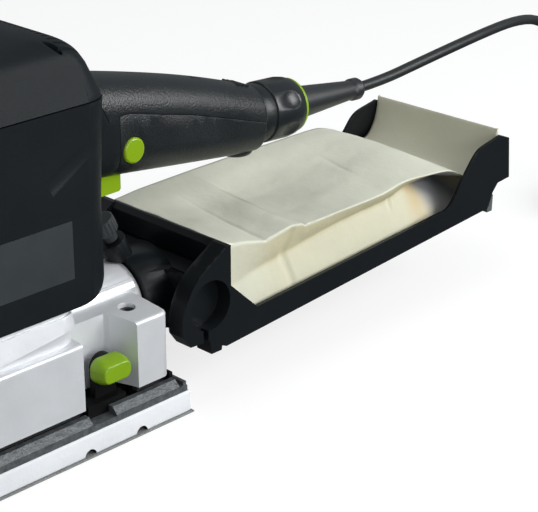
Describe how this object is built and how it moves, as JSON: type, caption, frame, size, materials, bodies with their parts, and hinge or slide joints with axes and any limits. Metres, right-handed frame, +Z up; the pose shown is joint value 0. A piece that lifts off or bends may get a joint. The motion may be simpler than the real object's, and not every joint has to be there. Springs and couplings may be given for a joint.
{
  "type": "half-sheet orbital sander",
  "caption": "Half-sheet orbital sander with upright motor, rear grip, lever-clamped pad and a rear cradle that holds a paper filter bag.",
  "frame": {"origin": "centre of the sanding face, on the underside of the abrasive sheet", "axes": "+Z up from the work, +X to the rear, where the grip, bag cradle and cord are, +Y to the far side from the lock button"},
  "size_m": [0.7795, 0.1695, 0.2304],
  "materials": {
    "casing_black": "fine-textured glass-filled plastic",
    "gloss_black": "smooth moulded plastic",
    "cord_rubber": "smooth satin rubber",
    "plug_black": "moulded rubber",
    "nickel": "nickel plated",
    "lime": "bright lime plastic",
    "label_grey": "bare satin panel",
    "cast_aluminium": "blasted die casting",
    "plate_aluminium": "rough cast",
    "pad_foam_white": "closed-cell foam",
    "abrasive_grey": "coated paper backing",
    "carrier_black": "moulded plastic",
    "rubber_black": "matte rubber",
    "bearing_steel": "ground steel",
    "screw_steel": "zinc plated",
    "weight_iron": "machined iron",
    "fan_plastic": "moulded nylon",
    "core_steel": "laminated sheet",
    "copper": "enamelled copper",
    "carbon": "carbon",
    "module_plastic": "moulded plastic",
    "dial_grey": "moulded plastic",
    "stub_black": "moulded plastic",
    "cradle_black": "satin moulded plastic",
    "clip_grey": "moulded plastic",
    "knob_grey": "knurled plastic",
    "paper": "two-ply filter paper",
    "card": "pressed card"
  },
  "bodies": {
    "root": {"motor_housing": "casing_black", "top_cap": "casing_black", "handle_lower": "casing_black", "handle_upper": "casing_black", "power_inlet": "gloss_black", "cord_connector": "gloss_black", "cord_boot": "cord_rubber", "power_cord": "cord_rubber", "cord_coil": "cord_rubber", "cord_tail": "cord_rubber", "mains_plug": "plug_black", "plug_pins": "nickel", "connector_ring": "lime", "label_panel": "label_grey", "base_casting": "cast_aluminium", "dust_skirt": "rubber_black", "elastic_mounts": "rubber_black", "lower_bearing": "bearing_steel", "upper_bearing": "bearing_steel", "block_screws": "screw_steel", "housing_screws": "screw_steel", "handle_screws": "screw_steel", "stator_core": "core_steel", "field_coils": "copper", "carbon_brushes": "carbon", "brush_holders": "module_plastic", "bearing_bridge": "module_plastic", "switch_module": "module_plastic", "electronics_module": "module_plastic", "exhaust_stub": "stub_black"},
    "armature": {"motor_shaft": "bearing_steel", "counterweight": "weight_iron", "dust_fan": "fan_plastic", "cooling_fan": "fan_plastic", "armature_core": "core_steel", "armature_windings": "copper", "commutator": "copper"},
    "pad": {"abrasive_sheet": "abrasive_grey", "pad_foam": "pad_foam_white", "pad_plate": "plate_aluminium", "end_strips": "carrier_black", "pad_carrier": "carrier_black", "crank_bearing": "bearing_steel"},
    "lever_rear": {"lever_knob_rear": "lime", "lever_shaft_rear": "bearing_steel"},
    "lever_front": {"lever_knob_front": "lime", "lever_shaft_front": "bearing_steel"},
    "trigger": {"trigger": "lime"},
    "lock_button": {"lock_button": "lime"},
    "speed_dial": {"speed_dial": "dial_grey"},
    "cradle": {"cradle_tray": "cradle_black", "collar_seal": "rubber_black", "tail_clip": "clip_grey"},
    "clamp_knob": {"clamp_knob": "knob_grey"},
    "clamp_shoe": {"clamp_shoe": "screw_steel"},
    "filter_bag": {"bag_body": "paper", "bag_card": "card", "bag_flap": "paper"}
  },
  "joints": [
    {"name": "shaft_spin", "type": "hinge", "parent": "root", "child": "armature", "pos_m": [-0.0012, 0, 0.09], "axis": [0, 0, 1], "continuous": true},
    {"name": "pad_orbit", "type": "hinge", "parent": "armature", "child": "pad", "pos_m": [0, 0, 0.0245], "axis": [0, 0, 1], "continuous": true},
    {"name": "lever_rear_turn", "type": "hinge", "parent": "pad", "child": "lever_rear", "pos_m": [0.0605, -0.0485, 0.0423], "axis": [0, 1, 0], "range_deg": [0, 90]},
    {"name": "lever_front_turn", "type": "hinge", "parent": "pad", "child": "lever_front", "pos_m": [-0.0605, 0.0485, 0.0423], "axis": [0, -1, 0], "range_deg": [0, 90]},
    {"name": "trigger_press", "type": "slide", "parent": "root", "child": "trigger", "axis": [0, 0, 1], "range_m": [0, 0.0045], "stiffness_N_per_m": 250, "springref_m": -0.004},
    {"name": "lock_press", "type": "slide", "parent": "root", "child": "lock_button", "axis": [0, 1, 0], "range_m": [0, 0.003], "stiffness_N_per_m": 200, "springref_m": -0.003},
    {"name": "dial_turn", "type": "hinge", "parent": "root", "child": "speed_dial", "pos_m": [0.016, 0.0493, 0.176], "axis": [0, 1, 0], "range_deg": [0, 270]},
    {"name": "cradle_slide", "type": "slide", "parent": "root", "child": "cradle", "axis": [1, 0, 0], "range_m": [0, 0.045]},
    {"name": "clamp_turn", "type": "hinge", "parent": "cradle", "child": "clamp_knob", "pos_m": [0.107, 0, 0.085], "axis": [-0.4289, 0, 0.9033], "range_deg": [0, 720]},
    {"name": "clamp_shoe_slide", "type": "slide", "parent": "cradle", "child": "clamp_shoe", "axis": [-0.4289, 0, 0.9033], "range_m": [0, 0.0021]},
    {"name": "bag_lift", "type": "slide", "parent": "cradle", "child": "filter_bag", "axis": [0, 0, 1], "range_m": [0, 0.025]}
  ],
  "couplings": [
    {"joint": "pad_orbit", "follows": "shaft_spin", "ratio": -1},
    {"joint": "clamp_shoe_slide", "follows": "clamp_turn", "m_per_rad": 0.00015915}
  ]
}
